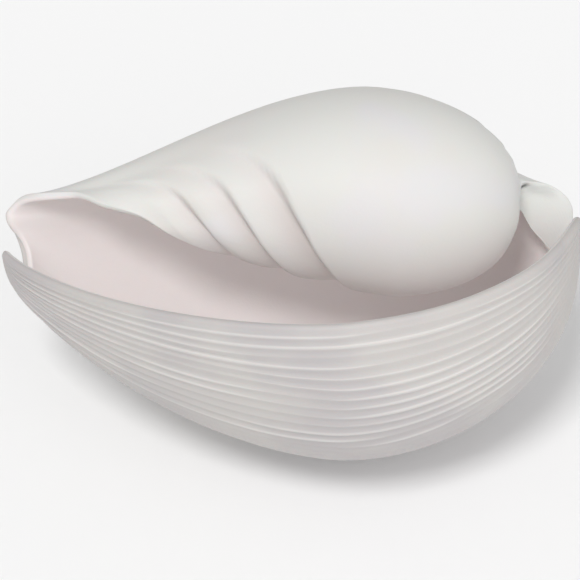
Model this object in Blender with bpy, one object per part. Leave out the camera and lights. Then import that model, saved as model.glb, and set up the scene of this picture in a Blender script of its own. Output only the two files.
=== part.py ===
"""A baler shell lying on its back, mouth up, built as one rolled wall.

The wall is a scroll about the coiling axis (X). Each point of its outside has a turn
angle: 0 is the front, 90 the bottom, 180 the back, 270 the top, and past 360 the wall has
gone inside itself. Tables give sizes in millimetres against that angle, with x measured
along the axis: the broad, closed (posterior) end is at +X and the narrow, open
(anterior) end at -X.
"""
import math

import bmesh
import bpy
import numpy as np

# Driving sizes
MM = 0.001
WIDEST_RADIUS = 114.6      # from the axis to the outer lip, mm
WHORL_RATIO = 3.12         # how much the radius shrinks in one turn
SHEET_END = 585.0          # turn angle where the hidden inner end of the wall stops
LIP_WALL = 3.8             # wall thickness at the lip, mm
FLOOR_WALL = 5.0           # wall thickness under the belly, mm
INNER_WALL = 3.0           # wall thickness of the inner turns, mm
APEX_WALL = 2.0            # wall thickness where it runs into the apex, mm
FOOT_DEPTH = 1.8           # how much is worn flat under the belly, mm
RIB_COUNT = 18
RIB_FIRST_STEP = 2.1       # degrees from the lip to the first growth rib
RIB_WIDENING = 0.06        # degrees that each following step gains, halved
RIB_HEIGHT = 0.8           # mm from groove to crest
APEX_DOME = (98.0, 11.8, 11.2)   # place along the axis, radius, half length, mm

# Where the profile's parts meet, as shares of the way from the apex to the open end
FUNNEL_SHARE = 0.14
WIDEST_SHARE = 0.52

# Turn angle and size in mm
POSTERIOR_X = [(-165, 104), (-120, 110), (-90, 115), (-46, 120), (0, 120.5), (60, 120.5),
               (110, 117), (160, 108), (205, 99), (235, 96.5), (315, 95.5), (405, 94), (640, 91)]
POSTERIOR_R = [(-165, 18), (-90, 22), (-46, 24), (45, 24), (130, 19), (180, 13),
               (235, 7.2), (405, 6.6), (640, 6)]
APEX_X = [(-165, 99), (130, 99), (180, 97), (215, 94.5), (240, 92.8), (405, 90.4), (640, 87.5)]
APEX_R = [(-165, 9.5), (0, 7.6), (120, 7.6), (180, 6.8), (215, 4.2), (240, 3.4), (640, 3)]
WIDEST_X = [(-60, 20), (45, 23), (225, 31.5), (405, 46), (640, 56.5)]
ANTERIOR_X = [(-30, -120.3), (-12, -119.5), (20, -117.5), (60, -113), (90, -114), (120, -117.5),
              (150, -120), (180, -116.5), (225, -107), (250, -91), (270, -85.5), (290, -79.5),
              (315, -62), (337, -51.5), (360, -38.5), (385, -27), (405, -21), (450, -10.5),
              (540, 12.5), (640, 33.5)]
ANTERIOR_R = [(-30, 27), (60, 27), (90, 22), (120, 16.8), (150, 12.2), (180, 12.2),
              (225, 11.3), (250, 12.6), (290, 15), (315, 17.6), (337, 18.4), (405, 16.3),
              (540, 12.6), (640, 10)]
ANTERIOR_POWER = [(90, 1.7), (225, 1.8), (405, 1.5)]
ANTERIOR_FULLNESS = [(90, 0.82), (225, 1.65), (405, 1.1)]
POSTERIOR_POWER = 1.9
POSTERIOR_FULLNESS = 0.5

# Station (-1 apex, 0 posterior end, 90 widest, 180 open end) and turn angle of the lip
LIP_ANGLE = [(-1.0, -125), (-0.6, -108), (-0.3, -85), (0, -56), (12, -44), (27, -34), (37, -29),
             (50, -26), (67, -23.4), (90, -21.3), (120, -18.4), (140, -16), (165, -13), (180, -12)]

# Columella folds: share of the way from the widest station to the open end, height in mm
FOLDS = [(0.75, 2.2), (0.575, 2.4), (0.33, 3.2)]
FOLD_FACE = 0.035          # width of a fold's steep face, as such a share
FOLD_BACK = 0.16           # width of its gentle back
FOLD_START = (268.0, 325.0)   # turn angles between which the folds rise

FUNNEL_STEPS = 5
POSTERIOR_STEPS = 9
TURN_STEP = 12.0           # degrees between rows past the ribs
INNER_START = 430.0        # turn angle past which the mouth hides the wall
INNER_ROWS = 10


def eased(angle, table):
    """Read a table at an angle, along a smooth curve that never overshoots."""
    keys = np.array(table, float)
    x, y = keys[:, 0], keys[:, 1]
    gap = np.diff(x)
    slope = np.diff(y) / gap
    bend = np.zeros_like(y)
    bend[0], bend[-1] = slope[0], slope[-1]
    for i in range(1, len(x) - 1):
        if slope[i - 1] * slope[i] > 0:
            near = 2 * gap[i] + gap[i - 1]
            far = gap[i] + 2 * gap[i - 1]
            bend[i] = (near + far) / (near / slope[i - 1] + far / slope[i])
    place = np.clip(angle, x[0], x[-1])
    i = np.clip(np.searchsorted(x, place, side="right") - 1, 0, len(gap) - 1)
    t = (place - x[i]) / gap[i]
    ends = (1 + 2 * t) * (1 - t) ** 2 * y[i] + t * t * (3 - 2 * t) * y[i + 1]
    bends = t * (1 - t) ** 2 * bend[i] + t * t * (t - 1) * bend[i + 1]
    return ends + gap[i] * bends


def smooth(low, high, value):
    t = np.clip((value - low) / (high - low), 0, 1)
    return t * t * (3 - 2 * t)


def lip_angle(s):
    """Turn angle of the lip's edge at a station."""
    funnel = s / FUNNEL_SHARE - 1
    posterior = (s - FUNNEL_SHARE) / (WIDEST_SHARE - FUNNEL_SHARE) * 90
    anterior = 90 + (s - WIDEST_SHARE) / (1 - WIDEST_SHARE) * 90
    station = np.where(s < FUNNEL_SHARE, funnel, np.where(s < WIDEST_SHARE, posterior, anterior))
    return eased(station, LIP_ANGLE)


def fold_height(s, turn):
    """Height of the columella folds: a steep face toward the open end, a gentle back."""
    share = np.sin(np.clip((s - WIDEST_SHARE) / (1 - WIDEST_SHARE), 0, 1) * np.pi / 2)
    height = np.zeros(np.broadcast(share, turn).shape)
    for crest, size in FOLDS:
        past = share - crest
        face = np.where(past > 0, np.exp(-(past / FOLD_FACE) ** 2), np.exp(-(past / FOLD_BACK) ** 2))
        height = height + size * face
    return height * smooth(*FOLD_START, turn) * smooth(0, 0.15, share)


def profile(s, turn):
    """Place along the axis and radius of the outside, without its growth ribs."""
    s, turn = np.broadcast_arrays(np.asarray(s, float), np.asarray(turn, float))
    widest = WIDEST_RADIUS * WHORL_RATIO ** (-turn / 360)
    end_x, end_r = eased(turn, POSTERIOR_X), eased(turn, POSTERIOR_R)
    apex_x, apex_r = eased(turn, APEX_X), eased(turn, APEX_R)
    wide_x = eased(turn, WIDEST_X)
    open_x, open_r = eased(turn, ANTERIOR_X), eased(turn, ANTERIOR_R)

    inward = np.clip(1 - s / FUNNEL_SHARE, 0, 1) * np.pi / 2
    funnel_x = end_x - (end_x - apex_x) * (1 - np.cos(inward))
    funnel_r = end_r - (end_r - apex_r) * np.sin(inward)

    back = np.cos(np.clip((s - FUNNEL_SHARE) / (WIDEST_SHARE - FUNNEL_SHARE), 0, 1) * np.pi / 2)
    back_x = wide_x + (end_x - wide_x) * back
    back_r = end_r + (widest - end_r) * (1 - back ** POSTERIOR_POWER) ** POSTERIOR_FULLNESS

    fore = np.sin(np.clip((s - WIDEST_SHARE) / (1 - WIDEST_SHARE), 0, 1) * np.pi / 2)
    fore_x = wide_x - (wide_x - open_x) * fore
    fullness = eased(turn, ANTERIOR_FULLNESS)
    fore_r = open_r + (widest - open_r) * (1 - fore ** eased(turn, ANTERIOR_POWER)) ** fullness

    x = np.where(s < FUNNEL_SHARE, funnel_x, np.where(s < WIDEST_SHARE, back_x, fore_x))
    r = np.where(s < FUNNEL_SHARE, funnel_r, np.where(s < WIDEST_SHARE, back_r, fore_r))
    return x, r


def outside(s, turn):
    """Points of the outside, in mm: x along the axis, -y at the front, +z up."""
    x, r = profile(s, turn)
    angle = np.radians(turn)
    return np.stack([x, -r * np.cos(angle), -r * np.sin(angle)], -1)


def outward(s, turn):
    """Unit normals of the outside."""
    ds, dt = 1e-3, 0.2
    low, high = np.clip(s - ds, 0, 1), np.clip(s + ds, 0, 1)
    along = outside(high, turn) - outside(low, turn)
    around = outside(s, turn + dt) - outside(s, turn - dt)
    normal = np.cross(along, around)
    return normal / np.linalg.norm(normal, axis=-1, keepdims=True)


def wall_thickness(s, turn):
    belly = smooth(10, 60, turn) * (1 - smooth(120, 175, turn))
    thick = LIP_WALL + (FLOOR_WALL - LIP_WALL) * belly
    thick = thick + (INNER_WALL - thick) * smooth(190, 260, turn)
    return APEX_WALL + (thick - APEX_WALL) * smooth(0, FUNNEL_SHARE, s)


def rib_offsets():
    """Degrees from the lip to each growth rib's crest and to the groove past it."""
    def crest(n):
        return RIB_FIRST_STEP * n + RIB_WIDENING * n * n
    offsets = []
    for n in range(1, RIB_COUNT + 1):
        offsets.append((crest(n), 1.0))
        offsets.append((crest(n + 0.5), -1.0))
    return offsets


def plain_steps():
    """Shares of the way from the last rib to the wall's inner end, wider where it is hidden."""
    start = eased(90, LIP_ANGLE) + rib_offsets()[-1][0]
    seen = np.arange(start + TURN_STEP, INNER_START, TURN_STEP)
    hidden = np.linspace(INNER_START, SHEET_END, INNER_ROWS)
    return (np.concatenate([seen, hidden]) - start) / (SHEET_END - start)


def stations():
    """Shares of the way from the apex to the open end, closer at the columella folds."""
    funnel = np.linspace(0, FUNNEL_SHARE, FUNNEL_STEPS, endpoint=False)
    posterior = np.linspace(FUNNEL_SHARE, WIDEST_SHARE, POSTERIOR_STEPS, endpoint=False)
    shares = [0.0, 0.12, 0.23, 0.33, 0.365, 0.42, 0.5, 0.575, 0.61, 0.67, 0.75, 0.785, 0.84,
              0.9, 0.96, 1.0]
    anterior = WIDEST_SHARE + (1 - WIDEST_SHARE) * np.arcsin(shares) / (np.pi / 2)
    return np.concatenate([funnel, posterior, anterior])


def wall_points():
    """Grids of outside and inside points, one line of the grid for each station."""
    s = stations()[:, None]
    lip = lip_angle(s)
    offsets, signs = np.array([(0.0, 0.0)] + rib_offsets()).T
    fade = 1 - smooth(0.55 * offsets[-1], offsets[-1] + 1, offsets)
    ribbed = lip + offsets
    start = ribbed[:, -1:]
    plain = start + (SHEET_END - start) * plain_steps()
    turn = np.concatenate([ribbed, plain], axis=1)
    rib = np.concatenate([signs * fade, np.zeros(plain.shape[1])])
    s = np.broadcast_to(s, turn.shape)
    normal = outward(s, turn)
    skin = outside(s, turn)
    taper = smooth(0.03, 0.2, s) * (1 - smooth(0.93, 1.0, s))
    relief = rib * taper * RIB_HEIGHT / 2 + fold_height(s, turn)
    outer = skin + normal * relief[..., None]
    inner = skin - normal * wall_thickness(s, turn)[..., None]
    return outer, inner


def collection(name):
    made = bpy.data.collections.new(name)
    bpy.context.scene.collection.children.link(made)
    return made


def shell_material():
    """Matte off-white ceramic, faintly warm."""
    material = bpy.data.materials.new("matte_ceramic")
    material.use_nodes = True
    shader = material.node_tree.nodes["Principled BSDF"]
    shader.inputs["Base Color"].default_value = (0.74, 0.71, 0.69, 1)
    shader.inputs["Roughness"].default_value = 0.6
    shader.inputs["Metallic"].default_value = 0.0
    return material


def wall_mesh(outer, inner, shift):
    """Join the outside and the inside into one closed wall."""
    bm = bmesh.new()
    count_s, count_t = outer.shape[:2]

    def vertices(grid):
        return [[bm.verts.new((point - shift) * MM) for point in line] for line in grid]

    out, ins = vertices(outer), vertices(inner)
    for i in range(count_s - 1):
        for j in range(count_t - 1):
            bm.faces.new((out[i][j], out[i + 1][j], out[i + 1][j + 1], out[i][j + 1]))
            bm.faces.new((ins[i][j], ins[i][j + 1], ins[i + 1][j + 1], ins[i + 1][j]))
        for j, (a, b) in ((0, (ins, out)), (count_t - 1, (out, ins))):
            bm.faces.new((a[i][j], a[i + 1][j], b[i + 1][j], b[i][j]))
    for j in range(count_t - 1):
        for i, (a, b) in ((0, (out, ins)), (count_s - 1, (ins, out))):
            bm.faces.new((a[i][j], a[i][j + 1], b[i][j + 1], b[i][j]))
    bmesh.ops.triangulate(bm, faces=bm.faces[:])
    bmesh.ops.recalc_face_normals(bm, faces=bm.faces[:])
    mesh = bpy.data.meshes.new("shell")
    bm.to_mesh(mesh)
    bm.free()
    mesh.shade_smooth()
    mesh.set_sharp_from_angle(angle=math.radians(50))
    return mesh


def apex_dome(cutters, shift):
    """The rounded first whorl, which closes the wall at the axis."""
    place, radius, half = APEX_DOME
    bpy.ops.mesh.primitive_uv_sphere_add(segments=24, ring_count=14, radius=1.0)
    dome = bpy.context.object
    dome.name = "apex_dome"
    dome.data.transform(dome.matrix_world)
    for vertex in dome.data.vertices:
        x, y, z = vertex.co
        vertex.co = ((place + half * z - shift[0]) * MM, (radius * x - shift[1]) * MM,
                     (radius * y - shift[2]) * MM)
    return hide(dome, cutters)


def foot_cutter(cutters, size):
    """A block under the belly that leaves the flat the shell rests on."""
    bpy.ops.mesh.primitive_cube_add(size=size, location=(0, 0, -size / 2))
    block = bpy.context.object
    block.name = "foot_cutter"
    return hide(block, cutters)


def hide(item, cutters):
    for owner in list(item.users_collection):
        owner.objects.unlink(item)
    cutters.objects.link(item)
    item.hide_render = True
    item.display_type = "WIRE"
    return item


def add_boolean(item, operation, other):
    step = item.modifiers.new(other.name, "BOOLEAN")
    step.operation = operation
    step.solver = "EXACT"
    step.object = other


def build():
    for item in list(bpy.data.objects):
        bpy.data.objects.remove(item)
    parts = collection("baler_shell")
    cutters = collection("cutters")
    outer, inner = wall_points()
    low, high = outer.min(axis=(0, 1)), outer.max(axis=(0, 1))
    shift = np.array([(low[0] + high[0]) / 2, (low[1] + high[1]) / 2, low[2] + FOOT_DEPTH])
    shell = bpy.data.objects.new("shell", wall_mesh(outer, inner, shift))
    shell.data.materials.append(shell_material())
    parts.objects.link(shell)
    add_boolean(shell, "UNION", apex_dome(cutters, shift))
    add_boolean(shell, "DIFFERENCE", foot_cutter(cutters, 0.2))


build()
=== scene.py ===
"""The looks of the baler shell: its fine surface, its matte finish, and a plain studio."""
import math

import bmesh
import bpy
import numpy as np
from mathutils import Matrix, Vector


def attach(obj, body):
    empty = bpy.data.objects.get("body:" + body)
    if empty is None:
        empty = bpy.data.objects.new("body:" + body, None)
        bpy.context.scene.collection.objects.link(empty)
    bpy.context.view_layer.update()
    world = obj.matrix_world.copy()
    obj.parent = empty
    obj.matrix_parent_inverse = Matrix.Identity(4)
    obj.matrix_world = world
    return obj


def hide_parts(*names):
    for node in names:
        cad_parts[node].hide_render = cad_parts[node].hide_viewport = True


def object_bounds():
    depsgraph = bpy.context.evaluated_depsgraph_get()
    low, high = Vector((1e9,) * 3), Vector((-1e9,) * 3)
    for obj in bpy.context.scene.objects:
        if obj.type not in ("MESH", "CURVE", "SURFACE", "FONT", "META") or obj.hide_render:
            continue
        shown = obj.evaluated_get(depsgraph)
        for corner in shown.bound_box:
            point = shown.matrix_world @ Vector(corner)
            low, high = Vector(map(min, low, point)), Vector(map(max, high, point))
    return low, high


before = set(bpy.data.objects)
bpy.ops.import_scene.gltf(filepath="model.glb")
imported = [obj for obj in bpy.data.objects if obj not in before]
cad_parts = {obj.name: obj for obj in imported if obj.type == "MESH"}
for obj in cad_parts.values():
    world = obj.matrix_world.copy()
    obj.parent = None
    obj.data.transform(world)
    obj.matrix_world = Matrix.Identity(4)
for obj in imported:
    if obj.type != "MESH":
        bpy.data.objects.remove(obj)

MM = 0.001
CAD_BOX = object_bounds()
MARGIN = 0.00003            # m that the surface stays inside that box

# The wall is a scroll about the coiling axis. Each point of its outside has a turn angle in
# degrees (0 front, 90 bottom, 180 back, 270 top, past 360 inside itself) and a station, a
# share of the way from the apex to the open end. Sizes are in mm.
WIDEST_RADIUS = 114.6       # from the axis to the outer lip
WHORL_RATIO = 3.12          # how much the radius shrinks in one turn
SHEET_END = 585.0           # turn angle where the hidden inner end of the wall stops
FOOT_DEPTH = 1.8            # how much is worn flat under the belly
APEX_DOME = (87.5, 10.0, 8.0)   # place along the axis, radius, half length
SKIN_INSET = 0.001          # how far the surface lies inside the wall's form

# Wall thickness, and the turn angles between which it changes
LIP_WALL = 3.8
FLOOR_WALL = 5.0
INNER_WALL = 3.0
APEX_WALL = 2.0
CREST_WALL = 0.4
BELLY_THICKENS = (10, 60)
BELLY_THINS = (120, 175)
INNER_THINS = (190, 260)
CREST_THINS = (60, 120)
CREST_THICKENS = (205, 240)
CREST_BAND = 0.12           # stations past the crest over which the wall thickens again

# The profile, by turn angle. Past the crest at the posterior end it falls as a shelf to the
# turn inside it
FUNNEL_SHARE = 0.14         # station of the crest
WIDEST_SHARE = 0.52         # station of the widest place
POSTERIOR_X = [(-85, 118), (-46, 120.2), (60, 120.2), (138, 120.2), (151, 120.1), (162, 118.7),
               (172, 115.8), (186, 109.6), (202, 102.4), (214, 98), (226, 96.6), (315, 95.5),
               (405, 92), (640, 90), (1000, 89)]
POSTERIOR_R = [(-46, 21), (0, 18.5), (90, 18), (150, 19.7), (180, 20.8), (202, 18), (214, 16.5),
               (232, 10.5), (250, 8.8), (300, 7.1), (405, 5.1), (640, 2.4), (1000, 0.8)]
POSTERIOR_FULLNESS = [(60, 0.5), (120, 0.8), (165, 1.5), (200, 1.6), (226, 0.5)]
WIDEST_X = [(-60, 20), (45, 23), (225, 31.5), (405, 46), (640, 56.5)]
ANTERIOR_X = [(-30, -120.3), (-12, -119.5), (20, -117.5), (60, -113), (90, -114), (120, -117.5),
              (150, -120), (180, -116.5), (225, -107), (250, -91), (270, -85.5), (290, -79.5),
              (315, -62), (337, -51.5), (360, -38.5), (385, -27), (405, -21), (450, -10.5),
              (540, 12.5), (640, 33.5)]
ANTERIOR_R = [(-30, 27), (60, 27), (90, 22), (120, 16.8), (150, 12.2), (180, 12.2),
              (225, 11.3), (250, 12.6), (290, 15), (315, 17.6), (337, 18.4), (405, 16.3),
              (540, 12.6), (640, 10)]
ANTERIOR_POWER = [(90, 1.7), (225, 1.8), (405, 1.5)]
ANTERIOR_FULLNESS = [(90, 0.82), (225, 1.65), (405, 1.1)]
POSTERIOR_POWER = 1.9
CREST_ROUND = 0.06          # how much of the posterior profile is a plain round end
SHELF_ROUND = 0.35          # how much of the shelf's fall to the axis comes early
SHELF_DROP = 1.7            # how late the shelf falls back along the axis
SEAM_BACK = 0.97            # where on the turn inside it each turn's wall is rooted
SEAM_DEPTH = 1.2            # how deep it is rooted
# Turn angle of the lip, by place: -1 apex, 0 crest, 90 widest, 180 open end
LIP_ANGLE = [(-1.0, 205), (-0.75, 192), (-0.62, 162), (-0.52, 125), (-0.4, 98), (-0.25, 40),
             (-0.12, -14), (0, -44), (12, -41), (27, -33), (37, -29), (50, -26), (67, -23.4),
             (90, -21.3), (120, -18.4), (140, -16), (165, -13), (180, -12)]

# Columella folds: place of the step along the axis at turn FOLD_FRONT, how far it shifts for
# each degree, depth of the groove before it, and how far that groove reaches
FOLDS = [(-42.4, 0.30, 4.6, 14), (-23.9, 0.30, 5.8, 16), (-2.5, 0.309, 6.6, 22)]
FOLD_FRONT = 300.0
FOLD_FACE = 3.0             # width of a step
FOLD_FALL = 1.4             # how late the petal before it falls into the groove
FOLD_CURL = 0.006           # how their upper ends curve to the open end, mm a degree squared
FOLD_START = (240.0, 340.0)   # turn angles between which the folds deepen
GROOVE_TINT = 5.5           # depth at which a groove is fully shaded

# Growth ribs
RIB_COUNT = 19
RIB_FIRST_STEP = 2.1        # degrees from the lip to the first rib
RIB_WIDENING = 0.06         # degrees that each following step gains, halved
RIB_HEIGHT = 0.9
RIB_ROWS = (-0.2, -0.1, 0.0, 0.14, 0.32, 0.56)   # places across a rib, as shares of its step

# What the shader is told at each point: height of the ribs (which lightens their crests as a
# painted highlight), share of the inner colour (also raised in the fold grooves as part of their
# painted shade), share of the worn outer colour, painted shade in the grooves
LOOKS = ("relief", "inside", "worn", "groove")
INNER_TINT = (300, 420)     # turn angles between which the outside takes the inner colour
LIP_TINT = (0, 40)          # degrees past the lip between which the inside does
WORN_FADE = (110, 190)      # turn angles between which the worn colour ends
UNEVEN_FADE = (150, 200)    # turn angles between which the outside gets even

# Grid
STATIONS = 188
EDGE_ROWS = 6
EDGE_TURN = 0.95            # degrees that the lip's rounded edge takes at its widest
OPEN_STEP = 3.2             # degrees between columns past the ribs
OPEN_GAP = 1.5              # degrees from the ribs to the first of them
HIDDEN_START = 440.0        # turn angle past which the mouth hides the wall
HIDDEN_ROWS = 14
PLACING_ROUNDS = 3          # how often a column's stations are fitted to its turn angles


def eased(angle, table):
    """Read a table at an angle, along a smooth curve that never overshoots."""
    keys = np.array(table, float)
    x, y = keys[:, 0], keys[:, 1]
    gap = np.diff(x)
    slope = np.diff(y) / gap
    bend = np.zeros_like(y)
    bend[0], bend[-1] = slope[0], slope[-1]
    for i in range(1, len(x) - 1):
        if slope[i - 1] * slope[i] > 0:
            near = 2 * gap[i] + gap[i - 1]
            far = gap[i] + 2 * gap[i - 1]
            bend[i] = (near + far) / (near / slope[i - 1] + far / slope[i])
    place = np.clip(angle, x[0], x[-1])
    i = np.clip(np.searchsorted(x, place, side="right") - 1, 0, len(gap) - 1)
    t = (place - x[i]) / gap[i]
    ends = (1 + 2 * t) * (1 - t) ** 2 * y[i] + t * t * (3 - 2 * t) * y[i + 1]
    bends = t * (1 - t) ** 2 * bend[i] + t * t * (t - 1) * bend[i + 1]
    return ends + gap[i] * bends


def smooth(low, high, value):
    t = np.clip((value - low) / (high - low), 0, 1)
    return t * t * (3 - 2 * t)


def wander(u, v, seed):
    """A smooth random field of about -1 to 1 over two coordinates."""
    lattice = np.random.default_rng(seed).uniform(-1, 1, (64, 64))
    iu, iv = np.floor(u).astype(int), np.floor(v).astype(int)
    fu, fv = u - iu, v - iv
    fu, fv = fu * fu * (3 - 2 * fu), fv * fv * (3 - 2 * fv)

    def at(a, b):
        return lattice[(iu + a) % 64, (iv + b) % 64]
    low = at(0, 0) * (1 - fu) + at(1, 0) * fu
    high = at(0, 1) * (1 - fu) + at(1, 1) * fu
    return low * (1 - fv) + high * fv


def lip_angle(s):
    """Turn angle of the lip's edge at a station."""
    funnel = s / FUNNEL_SHARE - 1
    posterior = (s - FUNNEL_SHARE) / (WIDEST_SHARE - FUNNEL_SHARE) * 90
    anterior = 90 + (s - WIDEST_SHARE) / (1 - WIDEST_SHARE) * 90
    station = np.where(s < FUNNEL_SHARE, funnel, np.where(s < WIDEST_SHARE, posterior, anterior))
    return eased(station, LIP_ANGLE)


def fold_height(s, turn):
    """Depth of the columella folds: each falls gently into a groove and steps up out of it."""
    x, _ = profile(s, turn)
    height = np.zeros_like(x)
    curl = FOLD_CURL * np.clip(FOLD_FRONT - turn, 0, None) ** 2
    for place, drift, depth, reach in FOLDS:
        before = place + drift * (turn - FOLD_FRONT) - curl - x
        fall = (1 - np.clip(before / reach, 0, 1)) ** FOLD_FALL
        height = height - depth * smooth(0, FOLD_FACE, before) * fall
    return height * smooth(*FOLD_START, turn)


def widest_radius(turn):
    return WIDEST_RADIUS * WHORL_RATIO ** (-turn / 360)


def posterior(back, turn):
    """The profile from the widest station (back 0) to the posterior end (back 1)."""
    wide_x, end_x = eased(turn, WIDEST_X), eased(turn, POSTERIOR_X)
    end_r = eased(turn, POSTERIOR_R)
    rise = 1 - back ** POSTERIOR_POWER
    rise = CREST_ROUND * rise ** 0.5 + (1 - CREST_ROUND) * rise ** eased(turn, POSTERIOR_FULLNESS)
    return wide_x + (end_x - wide_x) * back, end_r + (widest_radius(turn) - end_r) * rise


def profile(s, turn):
    """Place along the axis and radius of the outside, without its growth ribs."""
    s, turn = np.broadcast_arrays(np.asarray(s, float), np.asarray(turn, float))
    widest = widest_radius(turn)
    end_x, end_r = posterior(1.0, turn)
    seam_x, seam_r = posterior(SEAM_BACK, turn + 360)
    seam_x, seam_r = seam_x - SEAM_DEPTH, seam_r - SEAM_DEPTH
    wide_x = eased(turn, WIDEST_X)
    open_x, open_r = eased(turn, ANTERIOR_X), eased(turn, ANTERIOR_R)

    inward = np.clip(1 - s / FUNNEL_SHARE, 0, 1) * np.pi / 2
    funnel_x = end_x - (end_x - seam_x) * np.sin(inward) ** SHELF_DROP
    falling = SHELF_ROUND * np.sin(inward) + (1 - SHELF_ROUND) * (1 - np.cos(inward))
    funnel_r = end_r - (end_r - seam_r) * falling

    back = np.cos(np.clip((s - FUNNEL_SHARE) / (WIDEST_SHARE - FUNNEL_SHARE), 0, 1) * np.pi / 2)
    back_x, back_r = posterior(back, turn)

    fore = np.sin(np.clip((s - WIDEST_SHARE) / (1 - WIDEST_SHARE), 0, 1) * np.pi / 2)
    fore_x = wide_x - (wide_x - open_x) * fore
    fullness = eased(turn, ANTERIOR_FULLNESS)
    fore_r = open_r + (widest - open_r) * (1 - fore ** eased(turn, ANTERIOR_POWER)) ** fullness

    x = np.where(s < FUNNEL_SHARE, funnel_x, np.where(s < WIDEST_SHARE, back_x, fore_x))
    r = np.where(s < FUNNEL_SHARE, funnel_r, np.where(s < WIDEST_SHARE, back_r, fore_r))
    return x, r


def outside(s, turn):
    """Points of the outside, in mm: x along the axis, -y at the front, +z up."""
    x, r = profile(s, turn)
    angle = np.radians(turn)
    return np.stack([x, -r * np.cos(angle), -r * np.sin(angle)], -1)


def outward(s, turn):
    """Unit normals of the outside."""
    ds, dt = 1e-3, 0.2
    low, high = np.clip(s - ds, 0, 1), np.clip(s + ds, 0, 1)
    along = outside(high, turn) - outside(low, turn)
    around = outside(s, turn + dt) - outside(s, turn - dt)
    normal = np.cross(along, around)
    return normal / np.linalg.norm(normal, axis=-1, keepdims=True)


def wall_thickness(s, turn):
    belly = smooth(*BELLY_THICKENS, turn) * (1 - smooth(*BELLY_THINS, turn))
    thick = LIP_WALL + (FLOOR_WALL - LIP_WALL) * belly
    thick = thick + (INNER_WALL - thick) * smooth(*INNER_THINS, turn)
    thick = APEX_WALL + (thick - APEX_WALL) * smooth(0, FUNNEL_SHARE, s)
    crest = smooth(*CREST_THINS, turn) * (1 - smooth(*CREST_THICKENS, turn))
    crest = crest * (1 - smooth(FUNNEL_SHARE, FUNNEL_SHARE + CREST_BAND, s))
    return thick + (CREST_WALL - thick) * crest


def edge_steps():
    """Distances from a rounded edge, as shares of half the wall."""
    return 1 - np.cos(np.arange(EDGE_ROWS) / (EDGE_ROWS - 1) * np.pi / 2)


def roundness(distance):
    """Share of the wall's thickness at a distance from its rounded edge."""
    return np.sqrt(1 - (1 - np.clip(distance, 0, 1)) ** 2)


def open_edge_stations(turns):
    """Stations near the open end that lie the edge's steps from it, measured along the wall."""
    s = np.linspace(0.8, 1.0, 400)
    table = []
    for turn in turns:
        x, r = profile(s, np.full_like(s, turn))
        length = np.concatenate([[0], np.cumsum(np.hypot(np.diff(x), np.diff(r)))])
        left = length[-1] - length
        half = float(wall_thickness(np.array(1.0), np.array(turn))) / 2
        table.append(np.interp(edge_steps() * half, left[::-1], s[::-1]))
    return np.array(table)


def rib_place(n):
    """Degrees from the lip to rib n."""
    return RIB_FIRST_STEP * n + RIB_WIDENING * n * n


def rib_rows():
    """Rib number and share across it for each row of the ribbed band."""
    return [(n, share) for n in range(1, RIB_COUNT + 1) for share in RIB_ROWS]


def rib_relief(s, n, share):
    """Height of rib n in mm: a narrow ledge toward the lip and a gentle fall away from it."""
    crisp = 1 - smooth(5, 11, n)
    rise = np.clip(1 + share / 0.2, 0, 1)
    fall = (1 - np.clip(share / 0.8, 0, 1)) ** 1.6
    sharp = np.where(share <= 0, rise, fall)
    soft = np.cos(np.clip(share * 2.2, -0.5, 1) * np.pi / 2) ** 2
    shape = soft + (sharp - soft) * crisp
    along = smooth(0.99, 0.86, s) * smooth(0.1, 0.36, s)
    strength = 0.72 + 0.5 * wander(s * 9, n * 1.7 + 0 * s, 3)
    fade = 1 - smooth(RIB_COUNT * 0.5, RIB_COUNT, n)
    return RIB_HEIGHT * shape * along * np.clip(strength, 0.1, 1.2) * fade


def rib_wave(s, n):
    """How far rib n strays from its place, in shares of its step."""
    together = 0.4 * wander(s * 8, n * 0.15 + 0 * s, 7)
    alone = 0.05 * wander(s * 14, n * 1.3 + 0 * s, 9)
    return (together + alone) * smooth(0, 4, n)


def wall_columns():
    """Kind and value of each column of the grid, and the width of the ribbed band."""
    band = rib_place(RIB_COUNT + RIB_ROWS[-1])
    plain_start = band + float(eased(90, LIP_ANGLE))
    seen = np.arange(plain_start + OPEN_GAP, HIDDEN_START, OPEN_STEP)
    hidden = np.linspace(HIDDEN_START, SHEET_END, HIDDEN_ROWS)
    columns = [("edge", step) for step in edge_steps()]
    columns += [("rib", row) for row in rib_rows()]
    for turn in np.concatenate([seen, hidden]):
        columns.append(("plain", (turn - plain_start) / (SHEET_END - plain_start)))
    return columns, band


def column_turns(s, kind, value, band):
    """Turn angle of one column at each of its stations."""
    lip = lip_angle(s)
    _, r = profile(s, lip)
    edge_turn = wall_thickness(s, lip) / 2 / np.radians(r)
    start = lip + edge_turn - EDGE_TURN
    if kind == "edge":
        return lip + value * edge_turn
    if kind == "rib":
        n, share = value
        step = rib_place(n + 1) - rib_place(n)
        return start + rib_place(n) + (share + rib_wave(s, n)) * step
    return start + band + (SHEET_END - start - band) * value


def place_column(kind, value, band, turns, near_open):
    """Stations and turn angles of one column, its last rows along the open end's round edge."""
    base = np.linspace(0, 1, STATIONS - EDGE_ROWS + 1)
    s = np.concatenate([base, np.ones(EDGE_ROWS - 1)])
    for _ in range(PLACING_ROUNDS):
        turn = column_turns(s, kind, value, band)
        near = np.stack([np.interp(turn, turns, near_open[:, k]) for k in range(EDGE_ROWS)])
        edge = [near[EDGE_ROWS - 1 - k, len(base) - 1 + k] for k in range(1, EDGE_ROWS)]
        s = np.concatenate([base * near[-1, :len(base)], edge])
    return s, turn


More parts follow.
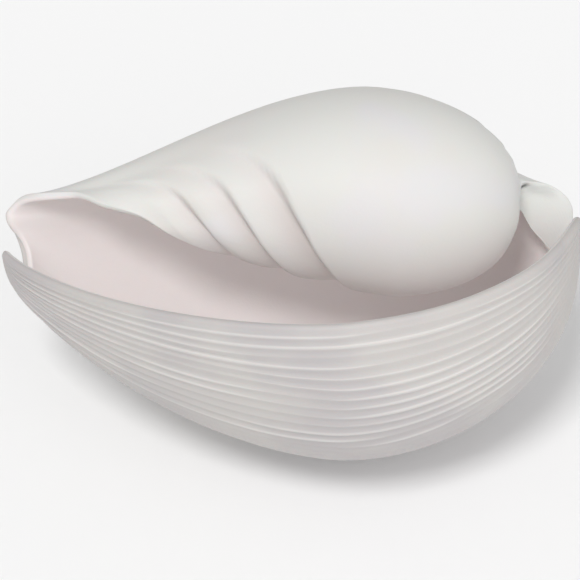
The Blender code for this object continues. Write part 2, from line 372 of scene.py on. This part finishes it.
def wall_grids():
    """Outside and inside points of the wall, and what each of them looks like."""
    turns = np.linspace(-30, SHEET_END, 140)
    near_open = open_edge_stations(turns)
    columns, band = wall_columns()
    S = np.zeros((STATIONS, len(columns)))
    T = np.zeros_like(S)
    relief = np.zeros_like(S)
    lip_round = np.ones_like(S)
    for j, (kind, value) in enumerate(columns):
        S[:, j], T[:, j] = place_column(kind, value, band, turns, near_open)
        if kind == "rib":
            relief[:, j] = rib_relief(S[:, j], *value)
        if kind == "edge":
            lip_round[:, j] = roundness(value)
    open_round = np.ones(STATIONS)
    open_round[-EDGE_ROWS:] = roundness(edge_steps()[::-1])
    swell = lip_round * open_round[:, None]

    normal = outward(S, T)
    skin = outside(S, T)
    thick = wall_thickness(S, T)
    uneven = 0.10 * wander(S * 14, T / 9, 21) + 0.05 * wander(S * 33, T / 4, 22)
    uneven = uneven * smooth(0.05, 0.2, S) * (1 - smooth(0.9, 1.0, S))
    uneven = uneven * (1 - smooth(*UNEVEN_FADE, T))
    folds = fold_height(S, T)
    middle = skin - normal * (thick / 2)[..., None]
    height = (thick / 2 + relief + uneven + folds) * swell - SKIN_INSET
    outer = middle + normal * height[..., None]
    inner = middle + normal * (folds - thick / 2 * swell)[..., None]

    # Painted shade in the fold grooves, fuller where they are deeper: it darkens them and tints
    # them with the inner colour
    groove = np.clip(-folds / GROOVE_TINT, 0, 1)
    inside_and_groove_shade = np.maximum(smooth(*INNER_TINT, T), groove)
    worn = 1 - smooth(*WORN_FADE, T)
    inner_tint = smooth(*LIP_TINT, T - lip_angle(S))
    none = np.zeros_like(T)
    looks = np.stack([relief, inside_and_groove_shade, worn, groove], -1)
    inner_looks = np.stack([none, inner_tint, none, none], -1)
    return outer, inner, looks, inner_looks


def wall_mesh():
    """The wall as one closed mesh, and what each of its points looks like."""
    outer, inner, looks, inner_looks = wall_grids()
    low, high = outer.min(axis=(0, 1)), outer.max(axis=(0, 1))
    shift = np.array([(low[0] + high[0]) / 2, (low[1] + high[1]) / 2, low[2] + FOOT_DEPTH])
    ns, nt = outer.shape[:2]
    out_id = np.arange(ns * nt).reshape(ns, nt)
    in_id = out_id + ns * nt
    in_id[:, 0] = out_id[:, 0]
    in_id[-1, :] = out_id[-1, :]
    points = np.concatenate([outer.reshape(-1, 3), inner.reshape(-1, 3)]) - shift
    looks = np.concatenate([looks.reshape(-1, len(LOOKS)), inner_looks.reshape(-1, len(LOOKS))])
    quads = [np.stack([out_id[:-1, :-1], out_id[1:, :-1], out_id[1:, 1:], out_id[:-1, 1:]], -1),
             np.stack([in_id[:-1, :-1], in_id[:-1, 1:], in_id[1:, 1:], in_id[1:, :-1]], -1)]
    faces = np.concatenate([q.reshape(-1, 4) for q in quads])
    ends = [(out_id[:-1, -1], out_id[1:, -1], in_id[1:, -1], in_id[:-1, -1]),
            (out_id[0, 1:], out_id[0, :-1], in_id[0, :-1], in_id[0, 1:])]
    faces = np.concatenate([faces] + [np.stack(e, -1) for e in ends])
    used = np.unique(faces)
    index = np.full(len(points), -1)
    index[used] = np.arange(len(used))
    polygons = []
    tip = index[out_id[-1, 0]]
    for face in index[faces]:
        kept = list(dict.fromkeys(face.tolist()))
        if tip in kept and len(kept) == 4:
            at = kept.index(tip)
            kept = kept[at:] + kept[:at]
            polygons += [kept[:3], [kept[0], kept[2], kept[3]]]
        else:
            polygons.append(kept)
    mesh = bpy.data.meshes.new("shell_surface")
    mesh.from_pydata(points[used] * MM, [], polygons)
    return mesh, shift, looks[used]


def dome_mesh(shift):
    """The rounded first whorl, which closes the wall at the axis."""
    place, radius, half = APEX_DOME
    bm = bmesh.new()
    bmesh.ops.create_uvsphere(bm, u_segments=72, v_segments=40, radius=1.0)
    for vertex in bm.verts:
        x, y, z = vertex.co
        vertex.co = ((place + half * z - shift[0]) * MM, (radius * x - shift[1]) * MM,
                     (radius * y - shift[2]) * MM)
    bmesh.ops.recalc_face_normals(bm, faces=bm.faces[:])
    mesh = bpy.data.meshes.new("apex_dome")
    bm.to_mesh(mesh)
    bm.free()
    return mesh


def fit_box(bm):
    """Cut the belly flat, and draw the surface in by a hair where it passes the solid's box."""
    reach = [max(abs(vertex.co[axis]) for vertex in bm.verts) for axis in range(3)]
    limit = [CAD_BOX[1][axis] - MARGIN for axis in range(3)]
    scale = [min(1.0, most / now) for most, now in zip(limit, reach)]
    for vertex in bm.verts:
        x, y, z = vertex.co
        vertex.co = (x * scale[0], y * scale[1], max(z * scale[2], 0.0))


def shell_piece():
    """The shell's whole surface as one object, and how far it was moved."""
    mesh, shift, looks = wall_mesh()
    bm = bmesh.new()
    bm.from_mesh(mesh)
    bmesh.ops.recalc_face_normals(bm, faces=bm.faces[:])
    if bm.calc_volume(signed=True) < 0:
        bmesh.ops.reverse_faces(bm, faces=bm.faces[:])
    bm.from_mesh(dome_mesh(shift))
    fit_box(bm)
    bm.to_mesh(mesh)
    bm.free()
    values = np.zeros((len(mesh.vertices), looks.shape[1]), np.float32)
    values[:len(looks)] = looks
    for column, name in enumerate(LOOKS):
        attribute = mesh.attributes.new(name, "FLOAT", "POINT")
        attribute.data.foreach_set("value", np.ascontiguousarray(values[:, column]))
    mesh.shade_smooth()
    piece = bpy.data.objects.new("shell_surface", mesh)
    bpy.context.scene.collection.objects.link(piece)
    return piece, shift


def shell_material():
    """Matte off-white ceramic with faint warm and lilac clouding, with painted shade in the fold
    grooves and a painted highlight on the rib crests.
    """
    material = bpy.data.materials.new("matte_ceramic")
    material.use_nodes = True
    tree = material.node_tree
    nodes, links = tree.nodes, tree.links
    shader = nodes["Principled BSDF"]

    def node(kind, **values):
        made = nodes.new(kind)
        for name, value in values.items():
            setattr(made, name, value)
        return made

    def noise(scale, detail, rough):
        made = node("ShaderNodeTexNoise")
        made.inputs["Scale"].default_value = scale
        made.inputs["Detail"].default_value = detail
        made.inputs["Roughness"].default_value = rough
        links.new(place.outputs["Object"], made.inputs["Vector"])
        return made.outputs["Fac"]

    def mix(factor, first, second):
        made = node("ShaderNodeMix", data_type="RGBA")
        for socket, value in ((made.inputs["Factor"], factor), (made.inputs["A"], first),
                              (made.inputs["B"], second)):
            if isinstance(value, bpy.types.NodeSocket):
                links.new(value, socket)
            else:
                socket.default_value = value
        return made.outputs["Result"]

    def ramp(value, low, high, top=1.0):
        made = node("ShaderNodeMapRange", interpolation_type="SMOOTHSTEP")
        made.inputs["From Min"].default_value = low
        made.inputs["From Max"].default_value = high
        made.inputs["To Max"].default_value = top
        links.new(value, made.inputs["Value"])
        return made.outputs["Result"]

    def look(name):
        return node("ShaderNodeAttribute", attribute_name=name).outputs["Fac"]

    place = node("ShaderNodeTexCoord")
    relief, inside, worn, groove = [look(name) for name in LOOKS]
    outer = (0.70, 0.697, 0.67, 1)
    pink = (0.745, 0.692, 0.683, 1)
    lilac = (0.70, 0.685, 0.715, 1)
    warm = (0.70, 0.67, 0.64, 1)
    # colour of the painted highlight on the rib crests
    crest = (0.72, 0.705, 0.685, 1)
    grey = (0.535, 0.512, 0.495, 1)
    grey_lilac = (0.47, 0.446, 0.45, 1)
    # colour of the painted shade in the fold grooves
    shade = (0.59, 0.545, 0.525, 1)
    colour = mix(ramp(noise(16, 2, 0.5), 0.42, 0.62, 0.55), outer, warm)
    colour = mix(ramp(noise(22, 2, 0.5), 0.50, 0.68, 0.5), colour, lilac)
    # inner colour, which the fold grooves also take as part of their painted shade
    colour = mix(inside, colour, pink)
    # painted shade in the fold grooves
    colour = mix(ramp(groove, 0.0, 1.0), colour, shade)
    cloud = mix(ramp(noise(14, 3, 0.55), 0.42, 0.62, 0.8), grey, grey_lilac)
    colour = mix(worn, colour, cloud)
    # painted highlight: the rib crests lighter by their height
    colour = mix(ramp(relief, 0.3, 0.7, 0.5), colour, crest)
    links.new(colour, shader.inputs["Base Color"])
    grain = noise(900, 3, 0.6)
    rough = node("ShaderNodeMath", operation="ADD")
    links.new(ramp(grain, 0.2, 0.8, 0.14), rough.inputs[0])
    rough.inputs[1].default_value = 0.5
    links.new(rough.outputs[0], shader.inputs["Roughness"])
    bump = node("ShaderNodeBump")
    bump.inputs["Strength"].default_value = 0.12
    bump.inputs["Distance"].default_value = 0.0004
    links.new(grain, bump.inputs["Height"])
    links.new(bump.outputs["Normal"], shader.inputs["Normal"])
    shader.inputs["Subsurface Weight"].default_value = 0.08
    shader.inputs["Subsurface Scale"].default_value = 0.004
    shader.inputs["Specular IOR Level"].default_value = 0.35
    return material


def floor():
    bpy.ops.mesh.primitive_plane_add(size=8)
    plane = bpy.context.object
    plane.name = "floor"
    material = bpy.data.materials.new("floor_white")
    material.use_nodes = True
    shader = material.node_tree.nodes["Principled BSDF"]
    shader.inputs["Base Color"].default_value = (0.9, 0.9, 0.9, 1)
    shader.inputs["Roughness"].default_value = 1.0
    shader.inputs["Specular IOR Level"].default_value = 0.0
    plane.data.materials.append(material)


# Lights: name, way the light travels, strength, angle in degrees, whether it casts a shadow
SUNS = [("key", (0.20, 0.60, -1.0), 1.50, 14, True),
        ("fill", (-0.5, 0.90, -0.50), 1.0, 60, False)]
SKY = 0.49                  # strength of the even white light from all round


def lights():
    world = bpy.data.worlds.new("studio")
    bpy.context.scene.world = world
    world.use_nodes = True
    sky = world.node_tree.nodes["Background"]
    sky.inputs["Color"].default_value = (1, 1, 1, 1)
    sky.inputs["Strength"].default_value = SKY
    for name, way, energy, angle, shadow in SUNS:
        sun = bpy.data.lights.new(name, "SUN")
        sun.energy = energy
        sun.angle = math.radians(angle)
        sun.use_shadow = shadow
        lamp = bpy.data.objects.new(name, sun)
        lamp.rotation_euler = Vector(way).to_track_quat("-Z", "Y").to_euler()
        bpy.context.scene.collection.objects.link(lamp)


# Camera, placed from the coiling axis at the middle of the shell's length
CAMERA_TILT = 42.0          # degrees that it looks down
CAMERA_DISTANCE = 1.5
PIXEL = 0.419 * MM          # size of one of the photograph's pixels at the axis
FRAME_SIDE = 580
AXIS_ROW = 219              # row of the photograph that the axis is on
FILM = 36.0


def camera(shift):
    tilt = math.radians(CAMERA_TILT)
    up = Vector((0, math.sin(tilt), math.cos(tilt)))
    back = Vector((0, -math.cos(tilt), math.sin(tilt)))
    target = Vector([-c * MM for c in shift]) - up * (FRAME_SIDE / 2 - AXIS_ROW) * PIXEL
    data = bpy.data.cameras.new("camera")
    data.sensor_width = FILM
    data.lens = FILM * CAMERA_DISTANCE / PIXEL / FRAME_SIDE
    data.clip_end = 20
    item = bpy.data.objects.new("camera", data)
    item.location = target + back * CAMERA_DISTANCE
    item.rotation_euler = (-back).to_track_quat("-Z", "Y").to_euler()
    bpy.context.scene.collection.objects.link(item)
    bpy.context.scene.camera = item


def main():
    bpy.context.scene.view_settings.view_transform = "Standard"
    piece, shift = shell_piece()
    piece.data.materials.append(shell_material())
    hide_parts("shell")
    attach(piece, "root")
    floor()
    lights()
    camera(shift)


main()
